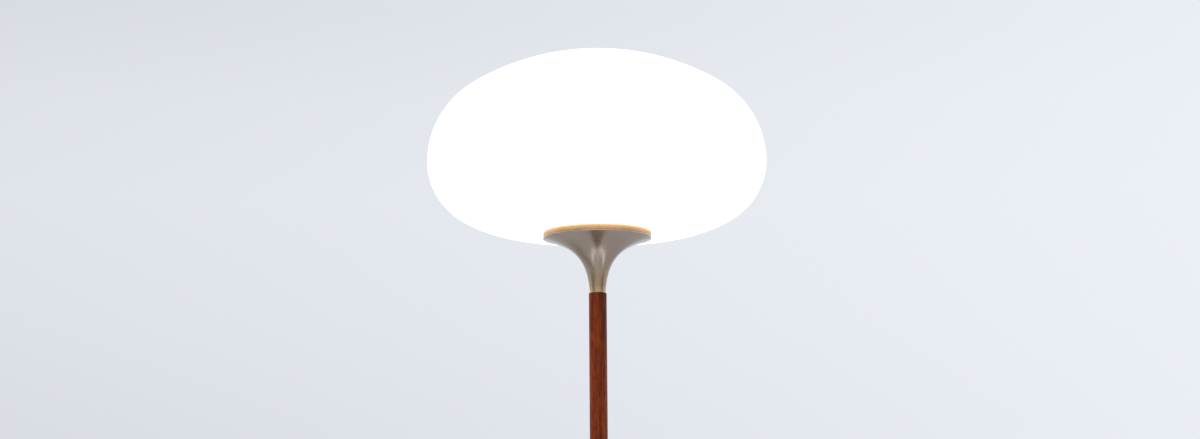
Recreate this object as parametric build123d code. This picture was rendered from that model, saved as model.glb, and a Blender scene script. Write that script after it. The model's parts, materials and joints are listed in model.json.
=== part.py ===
from build123d import *
import math
import os

os.makedirs("parts", exist_ok=True)

# Mushroom floor lamp, in millimetres. +Z is up, and the origin is on the floor under the middle of the foot.
# The front of the lamp faces -Y. The turn knob and the cord inlet face the back, +Y.
# Outlines are drawn as (radius, height) and turned about Z.

# Clearances that several pieces share
slip_gap = 0.1               # between nested pieces of one sub-assembly
seat_gap = 0.3               # between a loose or cast piece and what carries it

# Glass shade: two arcs above its widest circle and two below, all tangent
shade_radius = 198.0
shade_wall = 3.2
shade_widest_height = 90.1   # widest circle above the rim plane of the cup
crown_height = 128.8         # widest circle to the top of the glass
crown_shoulder = 101.4       # radius of the upper arc beside the widest circle
belly_depth = 83.8           # widest circle down to the lowest ring of the glass
belly_shoulder = 74.3        # radius of the lower arc beside the widest circle
belly_low_radius = 88.0      # radius of the ring where the glass hangs lowest
fitter_edge_round = 1.0      # fire-polished end of the glass neck
fitter_inner_round = 3.0     # inside, where the belly turns down into the neck
fitter_outer_round = 0.7     # outside, in the corner over the gallery ring

# Spun cup that carries the shade, a flare drawn as one Bezier curve from neck to rim
sheet_wall = 1.3
cup_height = 64.2            # underside of the neck up to the rim plane
cup_rim_radius = 63.4
cup_neck_radius = 9.2
cup_neck_run = 36.8          # how far the curve follows the neck upwards
cup_neck_lean = 2.3          # and how far it leans out meanwhile
cup_rim_run = 38.7           # how far the curve follows the rim inwards
cup_rim_fall = 9.3           # and how far it falls meanwhile
cup_rim_edge = 0.6           # half thickness of the rim at its edge
cup_edge_round = 0.5
cup_land_width = 10.6        # flat land on top of the rim, under the gallery ring
neck_lip = 1.3               # thickness of the turned-in lip that closes each neck
flare_stations = 12          # steps along a flare at which its inner face is measured off
cut_reach = 4.0              # how far a cut through a sheet runs past it

# Gallery ring, an L-section whose upright lip is the band under the glass
ring_setback = 0.3           # the lip stands this far inside the rim, which draws a fine seam
ring_wall = 1.2
ring_lip_height = 6.8
ring_edge_round = 0.35
glass_side_gap = 0.8         # all round the glass neck, inside the lip
gasket_thickness = 1.3
gasket_width = 4.7
rivet_count = 3
rivet_radius = 1.2
rivet_head_radius = 1.6
rivet_head_height = 0.7
rivet_head_round = 0.35
rivet_circle_inset = 2.0     # rivet circle outside the inner edge of the land
rivet_start_angle = 30.0

# Stem: a bored wooden rod over a steel pipe that clamps the whole lamp together
wood_length = 948.0
wood_radius = 10.35
wood_edge_break = 0.5
pipe_radius = 4.85
pipe_bore_radius = 3.2
pipe_gap = 0.15              # in turned and cast pieces
wood_bore_gap = 0.35         # in the wood

# Clamp in the cup
cup_bush_height = 16.0
bush_side_gap = 0.3
cup_washer_radius = 8.2
cup_washer_thickness = 1.5
cup_nut_flats = 13.6
cup_nut_height = 4.0

# Spun foot, with an upright band at its edge
foot_radius = 140.0
foot_height = 140.0
foot_neck_radius = 9.1
foot_neck_run = 76.0
foot_neck_lean = 1.9
foot_rim_run = 94.0
foot_rim_rise = 10.0
foot_band_top = 19.5
foot_edge_round = 4.0

# Inside the foot
felt_thickness = 2.0
felt_margin = 5.0            # felt stops this far inside the steel plate
plate_thickness = 2.0
plate_side_gap = 0.4
weight_radius = 118.0
weight_boss_height = 30.0    # flat top of the casting above the floor
weight_pocket_radius = 17.0
weight_pocket_depth = 15.0
cord_channel_width = 10.0
cord_channel_height = 10.0
plate_screw_count = 3
plate_screw_circle = 95.0
plate_screw_radius = 2.0
plate_screw_head_radius = 3.6
plate_screw_length = 12.0
foot_washer_radius = 13.0
foot_washer_thickness = 2.0
lock_washer_radius = 9.0
lock_washer_thickness = 1.6
lock_washer_slit = 1.5
foot_nut_flats = 17.0
foot_nut_height = 6.0
pipe_tail = 2.5              # pipe left standing below the foot's nut

# Cord inlet at the back of the foot's band
inlet_bore_radius = 3.6
inlet_body_radius = 4.6
inlet_flange_radius = 5.7
inlet_flange_thickness = 1.8
inlet_flange_round = 0.6
inlet_length = 12.0          # whole length of its bore
inlet_barb_width = 1.6
inlet_barb_rise = 0.4

# Lamp socket
socket_wall = 0.6
socket_inner_gap = 0.3       # thread of the bulb inside the thread of the socket
hub_wall = 1.9
hub_height = 7.5
hub_engagement = 6.5         # pipe screwed into the hub
bell_height = 13.0
bell_shoulder = 4.0          # how high the bell's curve aims before it turns into the collar
bell_collar = 7.0
shell_height = 46.0
shell_engagement = 5.5       # shell pushed down into the bell's collar
shell_mouth_round = 0.25
liner_wall = 0.6
liner_gap = 0.2              # between the liner and what it holds
liner_setback = 1.0          # liner ends this far below the shell's mouth
body_flange_height = 2.5
body_height = 19.0
terminal_pocket = 2.4
terminal_height = 8.0        # terminal screws above the underside of the socket body
terminal_head_radius = 2.8
terminal_head_gap = 0.5       # round each head, in its pocket
terminal_head_thickness = 1.5
terminal_shank_radius = 1.4
terminal_shank_length = 5.0
contact_width = 5.0
contact_length = 13.0
contact_thickness = 0.6
contact_rise = 2.4
hub_screw_radius = 1.5
hub_screw_length = 3.8

# Bulb with a 26 mm screw cap
thread_pitch = 3.629
thread_turn_count = 6
thread_radius = 13.05
thread_depth = 0.65
thread_wall = 0.4
bulb_tip_radius = 4.5
bulb_tip_height = 1.4
bulb_tip_round = 0.8
insulator_height = 3.0
insulator_rim = 1.0          # upright edge under the screw cap
insulator_radius = 9.5
cap_skirt = 2.2
cap_floor_hole_radius = 6.5  # in the floor of the screw cap, for the lead to the tip
bulb_radius = 30.0
bulb_wall = 0.8
bulb_length = 108.0          # from its contact to the top of the glass
bulb_neck_inset = 5.0        # glass inside the screw cap
bulb_shoulder_angle = 30.0   # where the round top passes into the neck, below its widest circle
bulb_shoulder_run = 16.0
bulb_neck_run = 20.0

# Rotary switch through the back of the cup, square to the sheet
switch_seat_radius = 40.0    # where its axis meets the outside of the cup
switch_body_radius = 9.0
switch_body_height = 11.0
switch_body_setback = 2.4    # behind the inside of the sheet
switch_body_round = 0.5
switch_stub_radius = 4.7
switch_stub_length = 5.5     # outside the sheet
switch_nut_gap = 0.5
switch_nut_radius = 6.6
switch_nut_thickness = 2.4
switch_nut_notch_count = 20
notch_radius = 0.45
shaft_radius = 1.6
shaft_depth = 6.0            # shaft inside the switch body
shaft_gap = 0.15
knob_radius = 5.6
knob_height = 12.5
knob_standoff = 0.6          # clear of the threaded stub
knob_wall = 2.0              # closed end of the knob beyond the shaft
knob_bore_gap = 0.05
knob_groove_count = 14
knob_groove_radius = 0.6
knob_edge_round = 0.9
knob_mark_width = 1.2
knob_mark_depth = 0.7

# Heights of the main seats above the floor
plate_bottom = felt_thickness
weight_bottom = plate_bottom + plate_thickness
inlet_height = weight_bottom + inlet_body_radius + inlet_barb_rise + seat_gap
wood_bottom = foot_height
cup_bottom = wood_bottom + wood_length
rim_plane = cup_bottom + cup_height
ring_bottom = rim_plane + cup_rim_edge
gasket_bottom = ring_bottom + ring_wall
glass_bottom = gasket_bottom + gasket_thickness + seat_gap
shade_widest = rim_plane + shade_widest_height

# Radii that follow from what a piece fits in or round
pipe_hole_radius = pipe_radius + pipe_gap
land_inner_radius = cup_rim_radius - cup_land_width
ring_outer_radius = cup_rim_radius - ring_setback
ring_inner_radius = ring_outer_radius - ring_wall
fitter_radius = ring_inner_radius - glass_side_gap
thread_bore_radius = thread_radius + socket_inner_gap
screw_shell_radius = thread_bore_radius + thread_depth + thread_wall
liner_inner_radius = screw_shell_radius + liner_gap
shell_inner_radius = liner_inner_radius + liner_wall + slip_gap
shell_outer_radius = shell_inner_radius + socket_wall
bell_inner_radius = shell_outer_radius + slip_gap
bell_outer_radius = bell_inner_radius + socket_wall
hub_radius = pipe_hole_radius + hub_wall

# Heights in the clamp and the socket, each piece standing on the one before
cup_bush_top = cup_bottom + neck_lip + cup_bush_height
cup_washer_top = cup_bush_top + cup_washer_thickness
cup_nut_top = cup_washer_top + cup_nut_height
hub_bottom = cup_nut_top + slip_gap
hub_top = hub_bottom + hub_height
pipe_top = hub_bottom + hub_engagement
bell_top = hub_top + bell_height + bell_collar
shell_bottom = bell_top - shell_engagement
shell_top = shell_bottom + shell_height
body_bottom = shell_bottom + slip_gap
body_top = body_bottom + body_height
contact_top = body_top + contact_thickness + contact_rise
bulb_bottom = contact_top + seat_gap
insulator_bottom = bulb_bottom + bulb_tip_height
cap_bottom = insulator_bottom + insulator_height
cap_thread_top = cap_bottom + thread_pitch * thread_turn_count
cap_top = cap_thread_top + cap_skirt
bulb_top = bulb_bottom + bulb_length


def disc(radius, low, high):
    """Upright cylinder on the lamp's axis."""
    return Pos(0, 0, low) * Cylinder(radius, high - low, align=(Align.CENTER, Align.CENTER, Align.MIN))


def tube(inner, outer, low, high):
    """Upright tube or washer on the lamp's axis."""
    return disc(outer, low, high) - disc(inner, low, high)


def turned(lines):
    """Solid turned about Z from closed (radius, height) lines."""
    return revolve(Plane.XZ * make_face(lines), Axis.Z)


def turned_corners(*corners):
    """Solid turned about Z from the corners of a straight-sided outline."""
    return turned(Polyline(*corners, close=True))


def circle_at(solid, radius, height):
    """The closed edge of a turned solid that lies nearest a radius and height."""
    def miss(edge):
        point = edge @ 0
        return math.hypot(math.hypot(point.X, point.Y) - radius, point.Z - height)
    return min([edge for edge in solid.edges() if edge.is_closed], key=miss)


def rounded(solid, amount, *places):
    """The solid with the round edges at the given (radius, height) places filleted."""
    return fillet([circle_at(solid, *place) for place in places], amount)


def parallel(curve, depth, side):
    """A smooth curve at a depth inside a flare; side is +1 for the cup and -1 for the foot."""
    points = []
    for step in range(flare_stations + 1):
        station = step / flare_stations
        along = curve % station
        points.append(curve @ station + Vector(-along.Y, along.X) * (side * depth))
    return Spline(*points, tangents=(curve % 0, curve % 1))


def arc(centre, radius, start_angle, end_angle):
    """Arc about a centre, from one angle to another, in degrees from the radial direction."""
    return CenterArc(centre, radius, start_angle, end_angle - start_angle)


def joined_arc_radius(reach, height, shoulder):
    """Radius of the long arc that touches a shoulder arc, from the reach and height of the pair."""
    return ((reach - shoulder) ** 2 + height ** 2 - shoulder ** 2) / (2 * (height - shoulder))


def hex_nut(flats, low, high):
    """Six-sided nut on the pipe."""
    corner_radius = flats / math.sqrt(3)
    blank = extrude(Plane.XY.offset(low) * RegularPolygon(corner_radius, 6), high - low)
    return blank - disc(pipe_hole_radius, low, high)


def ridged_shell(crest, wall, low):
    """Rolled screw shell, with one ring-shaped ridge for each turn of its thread."""
    root = crest - thread_depth
    ridge = [(root, low)]
    for turn in range(thread_turn_count):
        ridge.append((crest, low + thread_pitch * (turn + 0.5)))
        ridge.append((root, low + thread_pitch * (turn + 1)))
    inside = [(radius - wall, height) for radius, height in reversed(ridge)]
    return turned_corners(*ridge, *inside)


# Glass shade

def shade_region(inset):
    """Body of the shade's outline, drawn in by an inset from the outside of the glass."""
    crown_radius = joined_arc_radius(shade_radius, crown_height, crown_shoulder)
    crown_centre = Vector(0, shade_widest + crown_height - crown_radius)
    upper_centre = Vector(shade_radius - crown_shoulder, shade_widest)
    lower_centre = Vector(shade_radius - belly_shoulder, shade_widest)
    belly_radius = joined_arc_radius(shade_radius - belly_low_radius, belly_depth, belly_shoulder)
    belly_centre = Vector(belly_low_radius, shade_widest - belly_depth + belly_radius)
    upper_turn = upper_centre - crown_centre
    lower_turn = lower_centre - belly_centre
    upper_angle = math.degrees(math.atan2(upper_turn.Y, upper_turn.X))
    lower_angle = math.degrees(math.atan2(lower_turn.Y, lower_turn.X))
    neck_radius = fitter_radius - inset
    neck_angle = -90 - math.degrees(math.asin((belly_low_radius - neck_radius) / (belly_radius - inset)))
    crown = arc(crown_centre, crown_radius - inset, 90, upper_angle)
    upper = arc(upper_centre, crown_shoulder - inset, upper_angle, 0)
    lower = arc(lower_centre, belly_shoulder - inset, 0, lower_angle)
    belly = arc(belly_centre, belly_radius - inset, lower_angle, neck_angle)
    neck = Polyline(belly @ 1, (neck_radius, glass_bottom), (0, glass_bottom), crown @ 0)
    return [crown, upper, lower, belly, neck]


def shade_corner_height(inset):
    """Height where the belly of the glass meets its neck."""
    outline = shade_region(inset)
    return (outline[3] @ 1).Y


def make_glass_shade():
    """Blown mushroom shade, open at the neck that stands in the gallery ring."""
    outside = turned(shade_region(0))
    outside = rounded(outside, fitter_outer_round, (fitter_radius, shade_corner_height(0)))
    inner_radius = fitter_radius - shade_wall
    inside = turned(shade_region(shade_wall))
    inside = rounded(inside, fitter_inner_round, (inner_radius, shade_corner_height(shade_wall)))
    glass = outside - inside
    return rounded(glass, fitter_edge_round, (fitter_radius, glass_bottom), (inner_radius, glass_bottom))


def make_shade_gasket():
    """Soft ring that the glass neck stands on."""
    outer = ring_inner_radius - slip_gap
    return tube(outer - gasket_width, outer, gasket_bottom, gasket_bottom + gasket_thickness)


# Cup and gallery ring

def cup_flare():
    """Outer curve of the cup, from the foot of its neck to its rim."""
    start = Vector(cup_neck_radius, cup_bottom)
    end = Vector(cup_rim_radius, rim_plane - cup_rim_edge)
    start_handle = start + Vector(cup_neck_lean, cup_neck_run)
    end_handle = end - Vector(cup_rim_run, cup_rim_fall)
    return Bezier(start, start_handle, end_handle, end)


def cup_body(depth):
    """Everything inside the cup's flare at a depth below its skin, up to the top of its rim."""
    skin = parallel(cup_flare(), depth, 1)
    low = skin @ 0
    high = skin @ 1
    sides = Polyline(high, (high.X, ring_bottom + depth), (0, ring_bottom + depth), (0, low.Y), low)
    return turned([skin, sides])


def switch_frame():
    """Plane square to the cup's skin at the switch, with its Z pointing out of the cup."""
    flare = cup_flare()
    crossing = flare.find_intersection_points(Axis((switch_seat_radius, 0), (0, 1)))[0]
    station = flare.param_at_point(crossing)
    seat = flare @ station
    along = flare % station
    return Plane(
        origin=(0, seat.X, seat.Y),
        x_dir=(1, 0, 0),
        z_dir=(0, along.Y, -along.X),
    )


def on_switch(radius, low, high):
    """Cylinder on the switch's axis between two distances outside the cup's skin."""
    blank = Cylinder(radius, high - low, align=(Align.CENTER, Align.CENTER, Align.MIN))
    return switch_frame() * Pos(0, 0, low) * blank


def make_cup():
    """Spun nickel cup: neck lip, flare, and a flat land under the gallery ring."""
    blank = rounded(cup_body(0), cup_edge_round, (cup_rim_radius, rim_plane - cup_rim_edge))
    room = cup_body(sheet_wall) & disc(land_inner_radius, cup_bottom + neck_lip, ring_bottom + sheet_wall)
    cup = blank - room - disc(pipe_hole_radius, cup_bottom, cup_bottom + neck_lip)
    cup -= on_switch(switch_stub_radius + slip_gap, -cut_reach, cut_reach)
    return cup - make_rivet_holes()


def rivet_places():
    """Places of the rivets that hold the gallery ring on the cup's land."""
    return PolarLocations(land_inner_radius + rivet_circle_inset, rivet_count, rivet_start_angle)


def make_rivet_holes():
    """Holes for the rivets, through the ring's foot and into the land."""
    depth = ring_wall + cup_rim_edge * 2
    hole = disc(rivet_radius + slip_gap, gasket_bottom - depth, gasket_bottom)
    return [place * hole for place in rivet_places()]


def make_gallery_ring():
    """L-section ring: a flat foot on the land, and the upright lip round the glass neck."""
    lip_top = ring_bottom + ring_lip_height
    ring = turned_corners(
        (land_inner_radius, ring_bottom),
        (ring_outer_radius, ring_bottom),
        (ring_outer_radius, lip_top),
        (ring_inner_radius, lip_top),
        (ring_inner_radius, gasket_bottom),
        (land_inner_radius, gasket_bottom),
    )
    ring = rounded(
        ring, ring_edge_round, (ring_outer_radius, ring_bottom), (ring_outer_radius, lip_top),
        (ring_inner_radius, lip_top),
    )
    return ring - make_rivet_holes()


def make_ring_rivets():
    """Round-headed rivets through the foot of the gallery ring."""
    shank_depth = ring_wall + cup_rim_edge * 2 - slip_gap
    shank = disc(rivet_radius, gasket_bottom - shank_depth, gasket_bottom)
    head = disc(rivet_head_radius, gasket_bottom, gasket_bottom + rivet_head_height)
    head = fillet(head.edges().group_by(Axis.Z)[-1], rivet_head_round)
    return Compound(children=[place * (shank + head) for place in rivet_places()])


# Stem and its clamp

def make_wood_stem():
    """Turned wooden rod, bored for the pipe, with its end edges broken."""
    rod = disc(wood_radius, wood_bottom, cup_bottom)
    rod = chamfer(rod.edges().filter_by(GeomType.CIRCLE), wood_edge_break)
    return rod - disc(pipe_radius + wood_bore_gap, wood_bottom, cup_bottom)


def make_centre_pipe():
    """Steel pipe from the pocket under the weight up into the hub of the socket."""
    return tube(pipe_bore_radius, pipe_radius, foot_nut_bottom() - pipe_tail, pipe_top)


def make_cup_bush():
    """Turned sleeve that centres the pipe in the cup's neck."""
    outer = cup_neck_radius - sheet_wall - bush_side_gap
    return tube(pipe_hole_radius, outer, cup_bottom + neck_lip, cup_bush_top)


def make_cup_washer():
    """Steel washer on the cup's bush."""
    return tube(pipe_hole_radius, cup_washer_radius, cup_bush_top, cup_washer_top)


def make_cup_locknut():
    """Thin nut that clamps the cup on the stem."""
    return hex_nut(cup_nut_flats, cup_washer_top, cup_nut_top)


# Foot

def foot_flare():
    """Outer curve of the foot, from the top of its neck to the top of its band."""
    start = Vector(foot_neck_radius, foot_height)
    end = Vector(foot_radius, foot_band_top)
    start_handle = start + Vector(foot_neck_lean, -foot_neck_run)
    end_handle = end + Vector(-foot_rim_run, foot_rim_rise)
    return Bezier(start, start_handle, end_handle, end)


def foot_body(depth, low):
    """Everything inside the foot at a depth below its skin, down to a height."""
    skin = parallel(foot_flare(), depth, -1)
    high_end = skin @ 0
    wide_end = skin @ 1
    sides = Polyline(wide_end, (wide_end.X, low), (0, low), (0, high_end.Y), high_end)
    band_radius = foot_radius - depth
    body = turned([skin, sides]) & disc(band_radius, low, foot_height)
    return rounded(body, foot_edge_round - depth, (band_radius, foot_band_top - depth))


def make_foot():
    """Spun nickel foot: a trumpet on an upright band, closed at its neck by a lip."""
    under_lip = foot_height - neck_lip
    room = foot_body(sheet_wall, plate_bottom) & disc(foot_radius, plate_bottom, under_lip)
    foot = foot_body(0, plate_bottom) - room - disc(pipe_hole_radius, under_lip, foot_height)
    return foot - at_inlet(inlet_body_radius + slip_gap, -cut_reach, cut_reach)


def weight_pocket_top():
    """Height of the seat inside the weight that the clamp bears on."""
    return weight_bottom + weight_pocket_depth


def plate_screw_places():
    """Places of the screws under the foot; one is at the front, clear of the cord channel."""
    return PolarLocations(plate_screw_circle, plate_screw_count, -90)


def make_base_weight():
    """Cast weight that fills the foot, with a pocket for the clamp and a channel for the cord."""
    skin_depth = sheet_wall + seat_gap
    casting = foot_body(skin_depth, weight_bottom) & disc(weight_radius, weight_bottom, weight_boss_height)
    casting -= disc(weight_pocket_radius, weight_bottom, weight_pocket_top())
    casting -= disc(pipe_hole_radius, weight_bottom, weight_boss_height)
    casting -= Pos(0, 0, weight_bottom) * Box(
        cord_channel_width, foot_radius, cord_channel_height,
        align=(Align.CENTER, Align.MIN, Align.MIN),
    )
    hole = disc(plate_screw_radius + slip_gap, weight_bottom, plate_bottom + plate_screw_length + slip_gap)
    return casting - [place * hole for place in plate_screw_places()]


def screw_head(gap):
    """Countersunk head, drawn as a cone in the thickness of the plate, grown by a gap."""
    head = Cone(
        plate_screw_head_radius + gap, plate_screw_radius + gap, plate_thickness,
        align=(Align.CENTER, Align.CENTER, Align.MIN),
    )
    return Pos(0, 0, plate_bottom) * head


def make_base_plate():
    """Steel plate that closes the foot, with countersunk holes."""
    plate = disc(foot_radius - sheet_wall - plate_side_gap, plate_bottom, weight_bottom)
    return plate - [place * screw_head(slip_gap) for place in plate_screw_places()]


def make_plate_screws():
    """Countersunk screws from the plate into the weight."""
    shank = disc(plate_screw_radius, weight_bottom, plate_bottom + plate_screw_length)
    screw = screw_head(0) + shank
    return Compound(children=[place * screw for place in plate_screw_places()])


def make_felt_pad():
    """Felt glued under the plate, which the lamp stands on."""
    return disc(foot_radius - sheet_wall - plate_side_gap - felt_margin, 0, felt_thickness)


def make_foot_spacer():
    """Sleeve round the pipe, from the top of the weight to the lip of the foot's neck."""
    outer = foot_neck_radius - sheet_wall - bush_side_gap
    return tube(pipe_hole_radius, outer, weight_boss_height, foot_height - neck_lip)


def foot_washer_bottom():
    """Underside of the flat washer in the weight's pocket."""
    return weight_pocket_top() - foot_washer_thickness


def foot_nut_bottom():
    """Underside of the nut in the weight's pocket."""
    return foot_washer_bottom() - lock_washer_thickness - foot_nut_height


def make_foot_washer():
    """Flat washer against the weight."""
    return tube(pipe_hole_radius, foot_washer_radius, foot_washer_bottom(), weight_pocket_top())


def make_lock_washer():
    """Split spring washer under the flat one."""
    low = foot_washer_bottom() - lock_washer_thickness
    washer = tube(pipe_hole_radius, lock_washer_radius, low, foot_washer_bottom())
    slit = Pos(0, 0, low) * Box(
        lock_washer_radius, lock_washer_slit, lock_washer_thickness,
        align=(Align.MIN, Align.CENTER, Align.MIN),
    )
    return washer - slit


def make_foot_nut():
    """Nut that draws the whole lamp together."""
    return hex_nut(foot_nut_flats, foot_nut_bottom(), foot_nut_bottom() + foot_nut_height)


def at_inlet(radius, low, high):
    """Cylinder on the inlet's axis between two distances outside the foot's band."""
    blank = Cylinder(radius, high - low, align=(Align.CENTER, Align.CENTER, Align.MIN))
    frame = Plane(origin=(0, foot_radius, inlet_height), x_dir=(1, 0, 0), z_dir=(0, 1, 0))
    return frame * Pos(0, 0, low) * blank


def make_cord_bushing():
    """Flanged bushing in the foot's band: the empty inlet for the cord."""
    outer_end = slip_gap + inlet_flange_thickness
    inner_end = outer_end - inlet_length
    barb_start = -sheet_wall - inlet_barb_width
    flange = at_inlet(inlet_flange_radius, slip_gap, outer_end)
    flange = fillet(flange.edges().group_by(Axis.Y)[-1], inlet_flange_round)
    barb = at_inlet(inlet_body_radius + inlet_barb_rise, barb_start - inlet_barb_width, barb_start)
    body = at_inlet(inlet_body_radius, inner_end, slip_gap)
    return flange + body + barb - at_inlet(inlet_bore_radius, inner_end, outer_end)


# Socket

def bell_curve(inset):
    """Curve of the socket's bell, drawn in by an inset, from the hub out to the foot of the collar."""
    collar_radius = bell_outer_radius - inset
    return Bezier(
        (hub_radius - inset, hub_top + inset),
        (collar_radius, hub_top + bell_shoulder + inset),
        (collar_radius, hub_top + bell_height),
    )


def make_socket_cap():
    """Bell-shaped brass cap, whose hub is screwed on the pipe."""
    outside = bell_curve(0)
    inside = bell_curve(socket_wall)
    hub = Polyline(
        inside @ 0,
        (pipe_hole_radius, hub_top + socket_wall),
        (pipe_hole_radius, hub_bottom),
        (hub_radius, hub_bottom),
        outside @ 0,
    )
    collar = Polyline(outside @ 1, (bell_outer_radius, bell_top), (bell_inner_radius, bell_top), inside @ 1)
    cap = turned([hub, outside, collar, inside])
    return cap - at_hub(hub_screw_radius + slip_gap, 0, hub_radius)


def at_hub(radius, low, high):
    """Cylinder along +X through the wall of the hub, at mid height."""
    blank = Cylinder(radius, high - low, align=(Align.CENTER, Align.CENTER, Align.MIN))
    frame = Plane(origin=(0, 0, hub_bottom + hub_height / 2), x_dir=(0, 1, 0), z_dir=(1, 0, 0))
    return frame * Pos(0, 0, low) * blank


def make_hub_screw():
    """Set screw that stops the hub from turning on the pipe."""
    return at_hub(hub_screw_radius, pipe_hole_radius, pipe_hole_radius + hub_screw_length)


def make_socket_shell():
    """Brass shell of the socket, pushed into the bell's collar."""
    shell = tube(shell_inner_radius, shell_outer_radius, shell_bottom, shell_top)
    return rounded(shell, shell_mouth_round, (shell_inner_radius, shell_top), (shell_outer_radius, shell_top))


def make_socket_liner():
    """Fibre sleeve between the shell and the live screw shell."""
    return tube(
        liner_inner_radius, liner_inner_radius + liner_wall,
        body_bottom + body_flange_height, shell_top - liner_setback,
    )


def terminal_frames():
    """Planes at the two side terminals, with Z pointing outwards along X."""
    height = body_bottom + terminal_height
    return [
        Plane(origin=(0, 0, height), x_dir=(0, 1, 0), z_dir=(side, 0, 0))
        for side in (-1, 1)
    ]


def terminal_piece(frame, radius, low, high):
    """Cylinder on a terminal's axis, between two distances from the lamp's axis."""
    blank = Cylinder(radius, high - low, align=(Align.CENTER, Align.CENTER, Align.MIN))
    return frame * Pos(0, 0, low) * blank


def make_socket_body():
    """Moulded body that carries the screw shell, the centre contact and the terminals."""
    body_radius = liner_inner_radius - liner_gap
    flange_radius = shell_inner_radius - slip_gap
    body = disc(body_radius, body_bottom, body_top)
    body += disc(flange_radius, body_bottom, body_bottom + body_flange_height)
    floor = body_radius - terminal_pocket
    for frame in terminal_frames():
        body -= terminal_piece(frame, terminal_head_radius + terminal_head_gap, floor, flange_radius)
        body -= terminal_piece(frame, terminal_shank_radius + slip_gap, floor - terminal_shank_length, floor)
    return body


def make_terminal_screws():
    """Two side screws that the leads are clamped under."""
    floor = liner_inner_radius - liner_gap - terminal_pocket
    screws = []
    for frame in terminal_frames():
        shank = terminal_piece(frame, terminal_shank_radius, floor - terminal_shank_length, floor)
        head = terminal_piece(frame, terminal_head_radius, floor, floor + terminal_head_thickness)
        screws.append(shank + head)
    return Compound(children=screws)


def make_screw_shell():
    """Threaded shell that takes the bulb, drawn with ring-shaped ridges."""
    crest = thread_bore_radius + thread_depth + thread_wall
    return ridged_shell(crest, thread_wall, body_top)


def make_centre_contact():
    """Sprung brass leaf on the socket body, bent up under the bulb."""
    half = contact_length / 2
    top = contact_thickness + contact_rise
    fold = contact_rise / 2
    under = top - contact_thickness
    behind = fold - contact_thickness
    outline = Polyline(
        (-half, 0), (half, 0), (half, contact_thickness), (fold, contact_thickness),
        (fold, top), (-half, top), (-half, under), (behind, under),
        (behind, contact_thickness), (-half, contact_thickness), close=True,
    )
    leaf = extrude(Plane.XZ * make_face(outline), contact_width / 2, both=True)
    return Pos(0, 0, body_top) * leaf


# Bulb

def make_bulb_contact():
    """Solder tip at the foot of the bulb."""
    tip = disc(bulb_tip_radius, bulb_bottom, insulator_bottom)
    return rounded(tip, bulb_tip_round, (bulb_tip_radius, bulb_bottom))


def make_bulb_insulator():
    """Dark glass insulator between the tip and the screw cap."""
    return turned_corners(
        (0, insulator_bottom),
        (bulb_tip_radius, insulator_bottom),
        (insulator_radius, cap_bottom - insulator_rim),
        (insulator_radius, cap_bottom),
        (0, cap_bottom),
    )


def make_bulb_cap():
    """Screw cap of the bulb, with ring-shaped ridges and a plain skirt."""
    root = thread_radius - thread_depth
    skirt = tube(root - thread_wall, root, cap_thread_top, cap_top)
    floor = tube(cap_floor_hole_radius, root, cap_bottom, cap_bottom + thread_wall)
    return ridged_shell(thread_radius, thread_wall, cap_bottom) + skirt + floor


def bulb_region(inset):
    """Half outline of the bulb's glass, drawn in by an inset: a round top and a drawn-in neck."""
    centre = Vector(0, bulb_top - bulb_radius)
    dome = arc(centre, bulb_radius - inset, 90, -bulb_shoulder_angle)
    neck_radius = thread_radius - thread_depth - thread_wall - slip_gap - inset
    neck_end = Vector(neck_radius, cap_top)
    dome_end = dome @ 1
    shoulder = Bezier(
        dome_end,
        dome_end + (dome % 1) * bulb_shoulder_run,
        neck_end + Vector(0, bulb_neck_run),
        neck_end,
    )
    glass_end = cap_top - bulb_neck_inset
    sides = Polyline(neck_end, (neck_radius, glass_end), (0, glass_end), dome @ 0)
    return [dome, shoulder, sides]


def make_bulb_glass():
    """Frosted envelope of the bulb."""
    return turned(bulb_region(0)) - turned(bulb_region(bulb_wall))


# Rotary switch

def switch_body_front():
    """Front face of the switch body, measured outwards from the cup's skin."""
    return -sheet_wall - switch_body_setback


def make_switch_body():
    """Moulded switch body inside the cup, with a blind bore for the shaft."""
    front = switch_body_front()
    body = on_switch(switch_body_radius, front - switch_body_height, front)
    body = fillet(body.edges().filter_by(GeomType.CIRCLE), switch_body_round)
    return body - on_switch(shaft_radius + shaft_gap, front - shaft_depth - shaft_gap, front)


def make_switch_stub():
    """Threaded stub of the switch, through the sheet of the cup."""
    front = switch_body_front()
    stub = on_switch(switch_stub_radius, front, switch_stub_length)
    return stub - on_switch(shaft_radius + shaft_gap, front, switch_stub_length)


def notched(blank, radius, count, groove_radius, low, high):
    """A round piece on the switch's axis with grooves cut along its side."""
    frame = switch_frame()
    groove = Cylinder(groove_radius, high - low, align=(Align.CENTER, Align.CENTER, Align.MIN))
    return blank - [frame * place * Pos(0, 0, low) * groove for place in PolarLocations(radius, count)]


def make_switch_nut():
    """Knurled ring nut that holds the switch in the cup."""
    low = switch_nut_gap
    high = switch_nut_gap + switch_nut_thickness
    ring = on_switch(switch_nut_radius, low, high) - on_switch(switch_stub_radius + slip_gap, low, high)
    return notched(ring, switch_nut_radius, switch_nut_notch_count, notch_radius, low, high)


def knob_bottom():
    """Inner end of the knob, measured outwards from the cup's skin."""
    return switch_stub_length + knob_standoff


def make_switch_shaft():
    """Steel shaft from the switch body into the knob."""
    start = switch_body_front() - shaft_depth
    return on_switch(shaft_radius, start, knob_bottom() + knob_height - knob_wall)


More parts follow.
